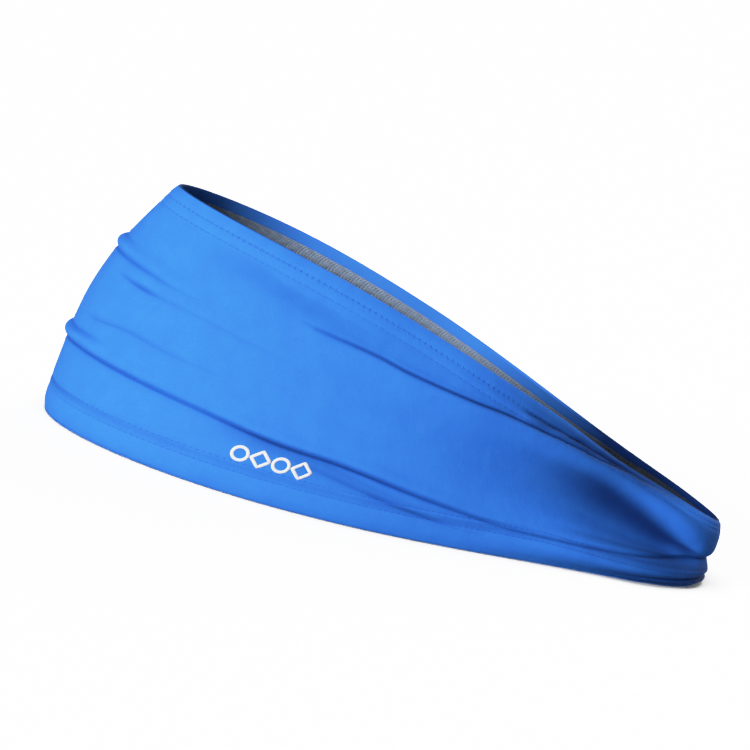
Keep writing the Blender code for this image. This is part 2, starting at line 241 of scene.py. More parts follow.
# Soft bands of painted shade along the folds, hollows and hems, with how dark each is, 0 to 1
PAINTED_SHADE_BANDS = {
    "puckers": [(148, .895, 0, 3), (157, .912, .45, 3), (165, .905, .12, 3), (173, .925, .6, 3),
                (181, .925, .15, 3), (189, .945, .6, 2.6), (197, .950, 0, 2.6)],
    "ridge_end": [(188, .860, 0, 4), (200, .865, .30, 4), (214, .830, .44, 4), (228, .760, .34, 5),
                  (247, .700, .22, 5)],
    "nape_hollow": [(125, .700, 0, 8), (142, .700, .05, 8), (160, .695, .18, 8),
                    (175, .712, .64, 8.6), (186, .722, .90, 9.4), (195, .706, .96, 9.2),
                    (203, .676, .97, 8.6), (211, .626, .97, 7.2),
                    (218, .568, .95, 5.0), (224, .503, .88, 3.2), (229, .450, .4, 2.4),
                    (233, .420, 0, 2)],
    "nape": [(170, .200, 0, 40), (195, .200, .22, 40), (212, .200, .42, 40), (247, .200, .42, 40)],
    "low_ridge": [(176, .180, 0, 3), (190, .200, .30, 3.5), (206, .235, .52, 3.5),
                  (226, .290, .45, 3), (247, .300, .4, 3)],
    "upper_hem": [(120, .960, 0, 6), (150, .950, .32, 6.5), (170, .945, .60, 6),
                  (185, .950, .82, 5.5), (200, .965, .78, 4.5), (214, .985, .5, 3),
                  (226, .985, 0, 2)],
    "lower_roll": [(140, .030, 0, 6), (170, .040, .2, 6), (190, .060, .42, 5.5),
                   (206, .075, .58, 5), (226, .095, .66, 4.6), (247, .100, .66, 4.4)],
    "under_low_ridge": [(168, .300, 0, 3), (186, .320, .32, 3), (204, .345, .5, 3),
                        (218, .380, .5, 2.4), (228, .410, 0, 2)],
    "under_hem": [(24, .882, 0, 4), (44, .885, .10, 4), (60, .866, .15, 4), (80, .858, .12, 4),
                  (100, .850, 0, 4)],
    "lower_edge": [(-60, 0, .3, 2.6), (0, 0, .3, 2.6), (60, 0, .34, 3.0), (150, 0, .34, 3.0),
                   (200, 0, .3, 3.0)],
    "lower_row": [(-30, .132, 0, 1.6), (-10, .130, .22, 1.4), (60, .133, .22, 1.4),
                  (120, .160, .22, 1.4), (160, .200, .2, 1.4), (190, .240, 0, 1.4)],
    "temple": [(60, .285, 0, 4), (76, .270, .26, 4), (96, .255, .3, 4), (118, .210, .22, 3),
               (135, .18, 0, 3)],
}
# Short puckers along the gathered hem: start, middle and end as mm round and h, then the depth
for a, h_a, b, h_b, c, h_c, depth in (
        (146, .905, 152, .912, 160, .918, .8), (156, .905, 163, .918, 171, .925, 1.1),
        (166, .912, 173, .926, 181, .935, 1.3), (176, .920, 184, .936, 192, .944, 1.3),
        (186, .930, 193, .946, 201, .952, 1.1)):
    CREASES[f"pucker_{a}"] = (-1, [(a, h_a, 0), (b, h_b, depth), (c, h_c, 0)])

NAPE_AT, EASE_OVER = 247, 60


def mirrored(stations, slide, lift):
    """The same fold on the right side, moved slide mm towards the nape and lift up. Both fade
    towards the nape, where the two sides meet."""
    ease = [min(1.0, (NAPE_AT - st[0]) / EASE_OVER) for st in stations]
    return [(-(st[0] + slide * e), st[1] + lift * e, *st[2:])
            for st, e in zip(stations, ease)][::-1]


for name, slide, lift in (("under_hem", 9, -.012), ("nape_ridge", 6, -.010),
                          ("nape_hollow", 8, .012), ("nape_low_ridge", -7, .010)):
    ROLLS[name + "_right"] = mirrored(ROLLS[name], slide, lift)
for name, slide, lift in (("temple_short", 22, -.040), ("temple_faint", 14, .060),
                          ("long_upper", 7, -.014), ("mark_wedge", -16, .020),
                          ("nape_low", 3, .008)):
    side, stations = CREASES[name]
    CREASES[name + "_right"] = (side, mirrored(stations, slide, lift))
for name in list(PAINTED_SHADE_BANDS):
    PAINTED_SHADE_BANDS[name + "_right"] = mirrored(PAINTED_SHADE_BANDS[name], 5, 0)
starts_later = [(50, .290, 0), *CREASES["long_lower"][1][6:]]
CREASES["long_lower_right"] = (1, mirrored(starts_later, 5, .018))
print(len(ROLLS), "rolls and", len(CREASES), "creases")

# %% [markdown]
# Each line is drawn through its stations with a smooth curve. The distance q from the line is
# measured across the fold in mm, and the fold's shape is a function of q alone:
#
# - roll: height * exp(-|q / half width| ** 2.4), a ridge a little fuller than a bell
# - crease: depth * (a soft lip on one side - a narrow groove at the line)

# %% The cloth's displacement
GROOVE, LIP, LIP_AT = 0.68, 2.3, 2.0
HALF_TURN = ROUND / 2 / MM


def smooth_through(xs, ys, x):
    """Cubic curve through the stations, with each slope the mean of its neighbours' slopes."""
    xs, ys = np.asarray(xs, float), np.asarray(ys, float)
    rise = np.diff(ys) / np.diff(xs)
    slope = np.concatenate([[rise[0]], (rise[1:] + rise[:-1]) / 2, [rise[-1]]])
    i = np.clip(np.searchsorted(xs, x) - 1, 0, len(xs) - 2)
    width = xs[i + 1] - xs[i]
    t = np.clip((x - xs[i]) / width, 0.0, 1.0)
    return ((2 * t ** 3 - 3 * t ** 2 + 1) * ys[i] + (t ** 3 - 2 * t ** 2 + t) * width * slope[i]
            + (3 * t ** 2 - 2 * t ** 3) * ys[i + 1] + (t ** 3 - t ** 2) * width * slope[i + 1])


def across(stations, r, h, length):
    """Distance in mm above the fold's line, whether r is within the line's ends, and a copy
    of the smooth curve reader for the other columns."""
    columns = np.array(stations, float).T
    inside = (r >= columns[0][0]) & (r <= columns[0][-1])
    line = smooth_through(columns[0], columns[1], r)
    q = (h - line) * length
    return q, inside, lambda k: smooth_through(columns[0], columns[k], r)


def folds(s, h):
    """Outward displacement of the cloth, in metres: the sum of all rolls and creases."""
    s, h = np.broadcast_arrays(np.asarray(s, float) % 1.0, np.asarray(h, float))
    r = (0.5 - s) * 2 * HALF_TURN
    length = wall_length(s) / MM
    total = np.zeros(s.shape)
    for stations in ROLLS.values():
        q, inside, column = across(stations, r, h, length)
        shape = np.exp(-np.abs(q / np.maximum(column(3), 1.0)) ** 2.4)
        total += np.where(inside, column(2) * shape, 0.0)
    for side, stations in CREASES.values():
        q, inside, column = across(stations, r, h, length)
        lip = 0.8 * np.exp(-((side * q - LIP_AT) / LIP) ** 2)
        groove = np.exp(-(q / GROOVE) ** 2)
        total += np.where(inside, column(2) * (lip - groove), 0.0)
    return total * MM


def painted_shade(s, h):
    """Painted shade, 0 to 1: full along each crease line, and in each soft band of shade listed
    above, which fades over a third of its width above its line and over all of it below."""
    s, h = np.broadcast_arrays(np.asarray(s, float) % 1.0, np.asarray(h, float))
    r = (0.5 - s) * 2 * HALF_TURN
    length = wall_length(s) / MM
    open_cloth = np.ones(s.shape)
    for side, stations in CREASES.values():
        q, inside, column = across(stations, r, h, length)
        line = np.exp(-((q + 0.1 * side) / 0.40) ** 2)
        line += 0.2 * np.exp(-(q + 0.8 * side) ** 2)
        open_cloth *= 1 - np.where(inside, np.clip(column(2), 0, 1.3) * 0.62 * line, 0.0)
    for stations in PAINTED_SHADE_BANDS.values():
        q, inside, column = across(stations, r, h, length)
        width = np.maximum(column(3), 0.5) * np.where(q > 0, 0.30, 1.0)
        share = np.clip(column(2), 0, 1) * np.exp(-(q / width) ** 2)
        open_cloth *= 1 - np.where(inside, share, 0.0)
    return 1 - np.clip(open_cloth, 0, 1)


def painted_shade_inside(s, start=140, over=55):
    """Painted shade for the inside: dark towards the nape, and a little at the forehead."""
    from_brow = np.abs(0.5 - s) * 2 * HALF_TURN
    nape, brow = (from_brow - start) / over, (72 - from_brow) / 40
    return 0.97 * np.clip(nape, 0, 1) + 0.8 * np.clip(brow, 0, 1)


print("folds at the forehead, mm:", np.round(folds(0.5, np.linspace(0, 1, 9)) / MM, 2))

# %% [markdown]
# ## Hems
#
# At each edge the cloth turns in once and is stitched down by two needle rows 3 mm apart. At
# the nape the hems are gathered with the rest, so their sewing distances shrink in proportion.
# Near an edge the double cloth is stiffer, so folds fade before they reach it, and each needle
# row pulls a shallow groove.

# %% Hem distances
KNIT = 0.8 * MM
HEM_DEPTH, FOLD_DEPTH = 1.9 * MM, 1.1 * MM
UPPER_ROWS, LOWER_ROWS = (4.2 * MM, 7.2 * MM), (8.0 * MM, 11.0 * MM)
RAW_EDGE = 1.4 * MM
STITCH = 2.1 * MM
HEM_FULL_HEIGHT = 42 * MM
ROW_GROOVE, SEAM_GROOVE = 0.22 * MM, 0.35 * MM
LOWER_TUCK, NAPE_TUCK, UPPER_TUCK = 0.7 * MM, 1.9 * MM, 0.3 * MM


def hem_scale(s):
    """1 where the wall is high, less where the nape gathers it."""
    return np.minimum(1.0, wall(s, 1.0)[..., 2] / HEM_FULL_HEIGHT)


def from_edges(s, h):
    """Sewing distance of a point from the lower edge and from the upper edge, in metres."""
    per = wall_length(s) / hem_scale(s)
    return h * per, (1.0 - h) * per


def level(s, edge, distance):
    """Height h at a sewing distance from the lower or the upper edge."""
    share = distance * hem_scale(s) / wall_length(s)
    return share if edge == "lower" else 1.0 - share


def outward(s, h):
    """How far the face stands off the smooth wall: the folds, calmed towards both edges, less
    a shallow groove along each needle row and along the nape seam, and less the tuck that
    rolls each edge under, which is deeper at the nape."""
    low, high = from_edges(s, h)
    calm = np.clip(low / (5 * MM), 0, 1) * np.clip(high / (3 * MM), 0, 1)
    out = folds(s, h) * (0.15 + 0.85 * calm)
    for distance, rows in ((low, LOWER_ROWS), (high, UPPER_ROWS)):
        for row in rows:
            out = out - ROW_GROOVE * np.exp(-((distance - row) / (0.7 * MM)) ** 2)
    from_seam = np.minimum(s % 1.0, 1 - s % 1.0) * ROUND
    tuck = LOWER_TUCK + NAPE_TUCK * np.clip((95 * MM - from_seam) / (55 * MM), 0, 1)
    out = out - tuck * np.exp(-(low / (2.4 * MM)) ** 2)
    out = out - UPPER_TUCK * np.exp(-(high / (1.4 * MM)) ** 2)
    return out - SEAM_GROOVE * np.exp(-(from_seam / (0.6 * MM)) ** 2)


def cloth(s, h, lift=0.0):
    """A point on the face of the cloth, lift metres off it: wall + normal * displacement."""
    s, h = np.broadcast_arrays(s, h)
    return wall(s, h) + wall_normal(s, h) * (outward(s, h) + lift)[..., None]


print("upper rows at h =", np.round(level(np.array([0.5]), "upper", np.array(UPPER_ROWS)), 3))

# %% [markdown]
# ## The panel's mesh
#
# The panel is one closed section carried round the loop: up the outside, over the upper fold,
# down inside past the hem's raw edge, on down the back of the cloth, and out under the lower
# fold. Evenly spaced rows would cut across the creases and bead them, so the rows crowd towards
# the crease lines and run along them.
#
# The mesh also carries a UV map in metres, along and across the cloth, and a value for each
# thing the material asks: how far below the upper edge, how much painted shade, whether the
# wrong side of the knit shows, and whether this is the turned-in hem, which gets a painted
# highlight.

# %% Meshes from grids of points
AROUND, UP = 540, 126


def grid_mesh(name, points, uv, join=(True, True)):
    """Quads over points[..., i, j, xyz]; join says which of i and j closes on itself.

    uv has one more row or column than points where the grid closes, so that the map doesn't
    run backwards over the last quad. A leading axis makes many separate grids in one mesh."""
    points = points.reshape(-1, *points.shape[-3:])
    count, n, m = points.shape[:3]
    uv = np.broadcast_to(uv, (count, *uv.shape[-3:]))
    i = np.arange(n if join[0] else n - 1)[:, None]
    j = np.arange(m if join[1] else m - 1)[None, :]
    i, j = np.broadcast_arrays(i, j)
    corners = [(i, j), (i + 1, j), (i + 1, j + 1), (i, j + 1)]
    quads = np.stack([(a % n) * m + b % m for a, b in corners], -1).reshape(-1, 4)
    quads = (quads[None] + (np.arange(count) * n * m)[:, None, None]).reshape(-1, 4)
    loop_uv = np.stack([uv[:, a, b] for a, b in corners], -2).reshape(-1, 2)
    mesh = bpy.data.meshes.new(name)
    mesh.vertices.add(count * n * m)
    mesh.vertices.foreach_set("co", points.reshape(-1))
    mesh.loops.add(quads.size)
    mesh.loops.foreach_set("vertex_index", quads.reshape(-1).astype(np.int32))
    mesh.polygons.add(len(quads))
    mesh.polygons.foreach_set("loop_start", np.arange(0, quads.size, 4, dtype=np.int32))
    mesh.uv_layers.new(name="cloth").data.foreach_set("uv", loop_uv.reshape(-1))
    mesh.update(calc_edges=True)
    mesh.shade_smooth()
    mesh.validate()
    return mesh


def put_values(mesh, name, values):
    """One number for each point of the mesh, for its material to read."""
    mesh.attributes.new(name, "FLOAT", "POINT").data.foreach_set(
        "value", values.reshape(-1).astype(np.float32))


def piece(name, mesh, material, slot, *nodes):
    """Puts a mesh in the scene as a finished piece that stands for CAD nodes."""
    made = bpy.data.objects.new(name, mesh)
    bpy.context.scene.collection.objects.link(made)
    mesh.materials.append(material)
    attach(made, "root")
    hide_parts(*nodes)
    mesh.calc_loop_triangles()
    print(name, "-", len(mesh.loop_triangles), "triangles")
    return made


# %% Rows that follow the folds
def fold_rows(s):
    """Rows at each s from 0 to 1: equal steps of a density that peaks at each crease."""
    fine = np.linspace(0.0, 1.0, 1201)
    r = (0.5 - s[:, None]) * 2 * HALF_TURN
    length = wall_length(s)[:, None] / MM
    density = np.ones((len(s), len(fine)))
    for side, stations in CREASES.values():
        q, inside, column = across(stations, r, fine[None, :], length)
        depth = np.where(inside, np.clip(column(2), 0, 1), 0.0)
        density += 1.6 * depth * np.exp(-(q / 3.0) ** 2)
    gone = np.concatenate([np.zeros((len(s), 1)), np.cumsum(density[:, 1:], 1)], 1)
    gone /= gone[:, -1:]
    even = np.linspace(0.0, 1.0, UP)
    return np.stack([np.interp(even, g, fine) for g in gone])


s_around = np.arange(AROUND) / AROUND
edge_share = (FOLD_DEPTH / 2 / wall_length(s_around))[:, None]
h_out = edge_share + fold_rows(s_around) * (1 - 2 * edge_share)
steps = np.diff(h_out, axis=1) * wall_length(s_around)[:, None] / MM
print("closest and widest rows in mm:", np.round([steps.min(), steps.max()], 2))


# %% The closed section, carried round
def lowest_nearby(values, reach=2):
    """Each value replaced by the lowest within reach columns, so the back never pokes out."""
    wide = np.pad(values, ((0, 0), (reach, reach)), mode="edge")
    return np.min([wide[:, k:k + values.shape[1]] for k in range(2 * reach + 1)], axis=0)


def back_of_cloth(s, h, depth):
    """A point depth metres behind the face. Where the cloth is single it goes under the
    lowest of the folds close by; the hems are stiff and follow the face."""
    out = outward(s, h)
    out = np.where(depth > KNIT, out, lowest_nearby(out))
    return wall(s, h) + wall_normal(s, h) * (out - depth)[..., None]


def back_rows(s):
    """Rows down the back, close over each hem and its raw edge, and each row's depth."""
    raw_high, raw_low = UPPER_ROWS[1] + RAW_EDGE, LOWER_ROWS[1] + RAW_EDGE
    high = [(0.8 * MM, FOLD_DEPTH), (2.0 * MM, 0.8 * HEM_DEPTH), (3.0 * MM, HEM_DEPTH)]
    high += [(d, HEM_DEPTH) for d in (UPPER_ROWS[0], 5.2 * MM, 6.2 * MM, UPPER_ROWS[1],
                                      raw_high - 0.4 * MM, raw_high)]
    high += [(raw_high + 0.2 * MM, KNIT)]
    low = [(raw_low + 0.2 * MM, KNIT), (raw_low, HEM_DEPTH), (raw_low - 0.5 * MM, HEM_DEPTH)]
    low += [(d, HEM_DEPTH) for d in (*LOWER_ROWS[::-1], 4.5 * MM)] + [(1.0 * MM, FOLD_DEPTH)]
    top = [level(s, "upper", d) for d, depth in high]
    bottom = [level(s, "lower", d) for d, depth in low]
    middle = [top[-1] + (bottom[0] - top[-1]) * t for t in np.linspace(0, 1, 32)[1:-1]]
    depth = [p[1] for p in high] + [KNIT] * len(middle) + [p[1] for p in low]
    back = np.array([0.0] * (len(high) - 1) + [1.0] * (len(middle) + 2) + [0.0] * (len(low) - 1))
    return np.stack(top + middle + bottom, 1), np.array(depth), back


def fold_over(s, h, first, last, turns=5):
    """A half circle of points round a hem's fold, from one side of the double cloth to the
    other: centre + radius * (normal * cos(angle) + up * sin(angle))."""
    centre = cloth(s, h, -FOLD_DEPTH / 2)
    normal = wall_normal(s, h)
    up = wall(s, np.minimum(h + .02, 1)) - wall(s, np.maximum(h - .02, 0))
    up /= np.linalg.norm(up, axis=-1, keepdims=True)
    angles = np.linspace(first, last, turns + 2)[1:-1]
    return np.stack([centre + FOLD_DEPTH / 2 * (normal * math.cos(a) + up * math.sin(a))
                     for a in angles], 1)


S_out = np.broadcast_to(s_around[:, None], h_out.shape)
h_back, depth_back, is_back = back_rows(s_around)
S_back = np.broadcast_to(s_around[:, None], h_back.shape)
upper_fold = fold_over(s_around, h_out[:, -1], 0.0, math.pi)
lower_fold = fold_over(s_around, h_out[:, 0], -math.pi, 0.0)
section = np.concatenate([cloth(S_out, h_out), upper_fold,
                          back_of_cloth(S_back, h_back, depth_back[None, :]), lower_fold], 1)
print("section of", section.shape[1], "points, lowest at mm",
      np.round(section[..., 2].min() / MM, 2))
section[..., 2] = np.maximum(section[..., 2], 0.0)

# %% [markdown]
# ## The knit
#
# The cloth is a smooth polyester jersey. Its ribs of loops are less than half a millimetre
# apart, too fine to model, so a bump of two crossed waves gives the grain. From further off the
# eye reads the soft sheen along each fold, the slight mottle of stretched knit, and the dimples
# where each needle went through. Shade is painted into the colour: in the creases, in soft bands
# along the folds, inside towards the nape and in each needle hole. The turned-in hem has a painted
# highlight.

# %% A few words for making node trees
def add(tree, kind, **values):
    """One node. Keys in capitals are properties; others are inputs by name or position, and
    a value that is a socket is linked."""
    made = tree.nodes.new("ShaderNode" + kind)
    for key, value in values.items():
        if key.isupper():
            setattr(made, key.lower(), value)
            continue
        socket = made.inputs[int(key[1:]) if key[1:].isdigit() else key.replace("_", " ")]
        if isinstance(value, bpy.types.NodeSocket):
            tree.links.new(value, socket)
        else:
            socket.default_value = value
    return made


def maths(tree, kind, a, b=0.0, c=0.0):
    """The output of one Math node."""
    return add(tree, "Math", OPERATION=kind, i0=a, i1=b, i2=c).outputs[0]


def times(tree, a, b):
    """a * b."""
    return maths(tree, "MULTIPLY", a, b)


def plus(tree, a, b):
    """a + b."""
    return maths(tree, "ADD", a, b)


def noise(tree, scale, detail=2.0, **more):
    """Cloudy noise from 0 to 1 that stays with the piece: it reads Object coordinates."""
    place = add(tree, "TexCoord").outputs["Object"]
    return add(tree, "TexNoise", Vector=place, Scale=scale, Detail=detail, **more).outputs["Fac"]


def value_of(tree, name):
    """A number that the mesh carries at each of its points."""
    return add(tree, "Attribute", ATTRIBUTE_NAME=name).outputs["Fac"]


def raise_by(tree, shader, height, strength, distance=1.0 * MM):
    """Fine relief that is too small to be worth points in the mesh."""
    bump = add(tree, "Bump", Height=height, Strength=strength, Distance=distance)
    tree.links.new(bump.outputs[0], shader.inputs["Normal"])


def finish_of(name, **values):
    """A new material, its tree and its Principled shader with some sockets set."""
    material = bpy.data.materials.new(name)
    material.use_nodes = True
    tree = material.node_tree
    shader = tree.nodes["Principled BSDF"]
    for key, value in values.items():
        shader.inputs[key.replace("_", " ")].default_value = value
    return material, tree, shader


def blend_colours(tree, share, first, second):
    """First colour where share is 0, second where it is 1."""
    mix = add(tree, "Mix", DATA_TYPE="RGBA")
    for socket, value in ((mix.inputs[0], share), (mix.inputs[6], first), (mix.inputs[7], second)):
        if isinstance(value, bpy.types.NodeSocket):
            tree.links.new(value, socket)
        else:
            socket.default_value = value
    return mix.outputs[2]


# %% Face, back and needle holes
FACE_BLUE = (0.040, 0.222, 0.870, 1)
DEEP_BLUE = (0.031, 0.178, 0.790, 1)
PALE_BLUE = (0.050, 0.250, 0.920, 1)
# Painted shade: the dark blue that creases, folds and the inside are painted towards
PAINTED_SHADE_BLUE = (0.003, 0.017, 0.105, 1)
# Painted highlight: a lighter blue for the turned-in hem
HEM_HIGHLIGHT_BLUE = (0.062, 0.285, 1.0, 1)
BACK_GREY = (0.130, 0.165, 0.220, 1)
# Painted shade in each needle hole
HOLE_SHADE_BLUE = (0.014, 0.075, 0.300, 1)


def needle_holes(tree, u, v, rows):
    """1 at each needle hole and 0 between: the product of two bells, one across the row and
    one along it that repeats every stitch."""
    along = maths(tree, "COSINE", times(tree, u, 2 * math.pi / STITCH))
    along = maths(tree, "POWER", maths(tree, "MAXIMUM", along, 0.0), 3.0)
    total = None
    for row in rows:
        q = maths(tree, "DIVIDE", maths(tree, "SUBTRACT", v, row), 0.42 * MM)
        bell = maths(tree, "EXPONENT", times(tree, times(tree, q, q), -1.0))
        hole = times(tree, bell, along)
        total = hole if total is None else maths(tree, "MAXIMUM", total, hole)
    return total


def knit_finish():
    """Blue jersey. v runs up from the lower edge and below_top down from the upper one, in
    metres."""
    material, tree, shader = finish_of("blue_jersey", Sheen_Weight=0.04, Sheen_Roughness=0.4,
                                       Sheen_Tint=(0.25, 0.55, 1.0, 1), Specular_IOR_Level=0.08)
    place = add(tree, "UVMap", UV_MAP="cloth").outputs[0]
    split = add(tree, "SeparateXYZ", Vector=place)
    u, v = split.outputs[0], split.outputs[1]
    below_top, back = value_of(tree, "below_top"), value_of(tree, "back")

    wales = maths(tree, "COSINE", times(tree, u, 2 * math.pi / (0.42 * MM)))
    courses = maths(tree, "COSINE", times(tree, v, 2 * math.pi / (0.34 * MM)))
    loops = plus(tree, wales, times(tree, courses, 0.45))
    grain, wear = noise(tree, 2600.0), noise(tree, 34.0, 3.0)
    mottle = noise(tree, 150.0, 4.0, Roughness=0.6)
    faint = maths(tree, "MAXIMUM", needle_holes(tree, u, v, LOWER_ROWS),
                  needle_holes(tree, u, below_top, UPPER_ROWS[1:]))
    holes = maths(tree, "MAXIMUM", needle_holes(tree, u, below_top, UPPER_ROWS[:1]),
                  times(tree, faint, 0.15))
    holes = times(tree, holes, maths(tree, "SUBTRACT", 1.0, back))

    spread = plus(tree, times(tree, mottle, 0.5), times(tree, grain, 0.5))
    spread = add(tree, "MapRange", i0=spread, i1=0.34, i2=0.66).outputs[0]
    face = blend_colours(tree, spread, DEEP_BLUE, FACE_BLUE)
    face = blend_colours(tree, times(tree, wear, 0.22), face, PALE_BLUE)
    # Painted highlight where the mesh marks the turned-in hem
    face = blend_colours(tree, value_of(tree, "hem_highlight"), face, HEM_HIGHLIGHT_BLUE)
    face = blend_colours(tree, back, face, BACK_GREY)
    # Painted shade: darker in the creases, in soft bands along the folds and inside towards the
    # nape
    face = blend_colours(tree, value_of(tree, "painted_shade"), face, PAINTED_SHADE_BLUE)
    # Painted shade: each needle hole darker blue, as the shade in its dimple
    colour = blend_colours(tree, times(tree, holes, 0.38), face, HOLE_SHADE_BLUE)
    tree.links.new(colour, shader.inputs["Base Color"])
    rough = add(tree, "MapRange", i0=mottle, i1=0.3, i2=0.7, i3=0.70, i4=0.92).outputs[0]
    tree.links.new(rough, shader.inputs["Roughness"])

    height = plus(tree, times(tree, loops, 0.018), times(tree, grain, 0.12))
    height = plus(tree, height, times(tree, mottle, 0.30))
    height = maths(tree, "SUBTRACT", height, times(tree, holes, 0.22))
    raise_by(tree, shader, height, 0.8)
    return material


blue_jersey = knit_finish()
print("made", blue_jersey.name)

# %% The finished panel
u_map = np.arange(AROUND + 1)[:, None] / AROUND * ROUND
low_out, high_out = from_edges(S_out, h_out)
low_back, high_back = from_edges(S_back, h_back)
flat = np.zeros((AROUND, 5))
v_map = np.concatenate([low_out, low_out[:, -1:] + flat, low_back, flat], 1)
w_map = np.concatenate([high_out, flat, high_back, high_out[:, :1] + flat], 1)
v_ring = np.concatenate([v_map, v_map[:, :1]], 1)
v_ring = np.concatenate([v_ring, v_ring[:1]], 0)
panel_uv = np.stack([np.broadcast_to(u_map, v_ring.shape), v_ring], -1)
panel_mesh = grid_mesh("knit_panel_cloth", section, panel_uv)
# Painted shade inside: darker towards the nape and a little at the forehead, on the back of the
# cloth and on the upper fold
inner = painted_shade_inside(S_back)
fold_shade = painted_shade_inside(S_back[:, :5], 166, 24)
inside = np.broadcast_to(is_back, h_back.shape)
# Painted highlight on the inside of each hem and half on the upper fold, and painted shade over the
# face
for name, parts in (("below_top", (w_map,)), ("back", (0 * low_out, flat, inside, flat)),
                    ("hem_highlight", (0 * low_out, flat + 0.5, 1 - inside, flat)),
                    ("painted_shade", (painted_shade(S_out, h_out), fold_shade, inner, flat))):
    put_values(panel_mesh, name, np.concatenate(parts, 1))
panel = piece("knit_panel_cloth", panel_mesh, blue_jersey, "knit", "knit_panel")

# %% [markdown]
# ## Needle threads
#
# On the face a coverstitch shows two rows of short straight stitches. Each one rises out of
# its hole, lies on the cloth and dives into the next. One long tube would do from far away, but
# separate arcs catch the light one by one, as stitches do. Each is a ring of six points
# carried along five stations and drawn shut at its ends, so it has only thirty-six faces.

# %% Tubes along many short paths
def tubes(name, paths, normals, radius, shade, material, slot, *nodes, closed=False, sides=6):
    """Round tubes of sides points along paths[k, i, xyz], in one mesh.

    Ring point = path + radius * (normal * cos(turn) + side * sin(turn)), where side is
    perpendicular to both the path and the normal. shade is the painted shade at each path point,
    which the finish paints onto the thread."""
    ahead = np.roll(paths, -1, 1) - np.roll(paths, 1, 1)
    if not closed:
        ahead[:, 0] = paths[:, 1] - paths[:, 0]
        ahead[:, -1] = paths[:, -1] - paths[:, -2]
    ahead /= np.linalg.norm(ahead, axis=-1, keepdims=True) + 1e-12
    side = np.cross(ahead, normals)
    side /= np.linalg.norm(side, axis=-1, keepdims=True) + 1e-12
    lift = np.cross(side, ahead)
    turn = np.arange(sides) / sides * 2 * math.pi
    radius = np.broadcast_to(radius, paths.shape[:2])[..., None, None]
    rings = (paths[:, :, None] + radius * (lift[:, :, None] * np.cos(turn)[:, None]
                                           + side[:, :, None] * np.sin(turn)[:, None]))
    if not closed:
        ends = [np.repeat(end[:, None, None], sides, 2) for end in (paths[:, 0], paths[:, -1])]
        rings = np.concatenate([ends[0], rings, ends[1]], 1)
    n = rings.shape[1]
    step = np.linalg.norm(paths[0, 1] - paths[0, 0])
    along = np.arange(n + 1 if closed else n) * step
    uv = np.stack(np.broadcast_arrays(np.arange(sides + 1) / sides, along[:, None]), -1)
    mesh = grid_mesh(name, rings, uv, join=(closed, True))
    if not closed:
        shade = np.concatenate([shade[:, :1], shade, shade[:, -1:]], 1)
    put_values(mesh, "painted_shade", np.repeat(shade[..., None], sides, -1))
    return piece(name, mesh, material, slot, *nodes)


def thread_finish(name, colour, dark, twist, sheen, gloss):
    """Sewing thread: plies that wind round it. u goes once round the thread, v along it."""
    material, tree, shader = finish_of(name, Sheen_Weight=sheen, Sheen_Roughness=0.4,
                                       Specular_IOR_Level=gloss)
    split = add(tree, "SeparateXYZ", Vector=add(tree, "UVMap", UV_MAP="cloth").outputs[0])
    turn = plus(tree, times(tree, split.outputs[0], 4 * math.pi),
                times(tree, split.outputs[1], 2 * math.pi / twist))
    plies = maths(tree, "MULTIPLY_ADD", maths(tree, "SINE", turn), 0.5, 0.5)
    fuzz = noise(tree, 1900.0, 3.0)
    share = times(tree, plies, fuzz)
    # Painted shade: the thread turns nearly black where the cloth under it is painted dark
    painted_shade_colour = (colour[0] * 0.03, colour[1] * 0.04, colour[2] * 0.06, 1)
    lit = blend_colours(tree, share, dark, colour)
    tree.links.new(blend_colours(tree, value_of(tree, "painted_shade"), lit, painted_shade_colour),
                   shader.inputs["Base Color"])
    tree.links.new(add(tree, "MapRange", i0=fuzz, i3=0.5, i4=0.85).outputs[0],
                   shader.inputs["Roughness"])
    raise_by(tree, shader, plus(tree, times(tree, plies, 0.08), times(tree, fuzz, 0.1)), 0.9)
    return material


blue_thread = thread_finish("blue_thread", (0.038, 0.205, 0.820, 1), (0.026, 0.145, 0.620, 1),
                            0.7 * MM, sheen=0.04, gloss=0.1)
grey_thread = thread_finish("grey_textured_thread", (0.44, 0.54, 0.70, 1),
                            (0.26, 0.34, 0.47, 1), 0.9 * MM, sheen=0.12, gloss=0.15)

# %% Both rows of both hems
THREAD = 0.28 * MM
ARC = np.array([0.04, 0.22, 0.5, 0.78, 0.96])  # places along one stitch


def hem_stitches(name, edge, distance, loop_length):
    """One arc for each stitch: its height over the cloth is a half sine wave, less a little,
    so that its ends sink in."""
    count = int(round(loop_length / STITCH))
    s = (np.arange(count)[:, None] + ARC) / count
    h = level(s, edge, distance)
    paths = cloth(s, h, -0.16 * MM + 0.21 * MM * np.sin(math.pi * ARC))
    # Each stitch takes the painted shade of the cloth under it
    return tubes(name, paths, wall_normal(s, h), THREAD / 2, painted_shade(s, h), blue_thread,
                 "needle_thread", name.replace("_stitches", ""))


HEMS = (("upper", UPPER_ROWS, UPPER_ROUND), ("lower", LOWER_ROWS, LOWER_ROUND))
for edge, rows, length in HEMS:
    for which, distance in zip(("outer", "inner"), rows):
        hem_stitches(f"{edge}_hem_{which}_needle_thread_stitches", edge, distance, length)

# %% [markdown]
# ## Looper threads
#
# On the wrong side the looper thread swings between the needle rows and covers the raw edge.
# It is a bulky grey nylon that looks like a flat braid. Two strands half a stitch apart make
# it, each a wave across the strip that also leans forward and back, which draws the loops. The
# nylon fills its own gaps with fuzz, so a thin flat mat lies under the strands.

# %% The braid inside each hem
STRAND_RADIUS, STRAND_OVER = 0.27 * MM, 0.30 * MM


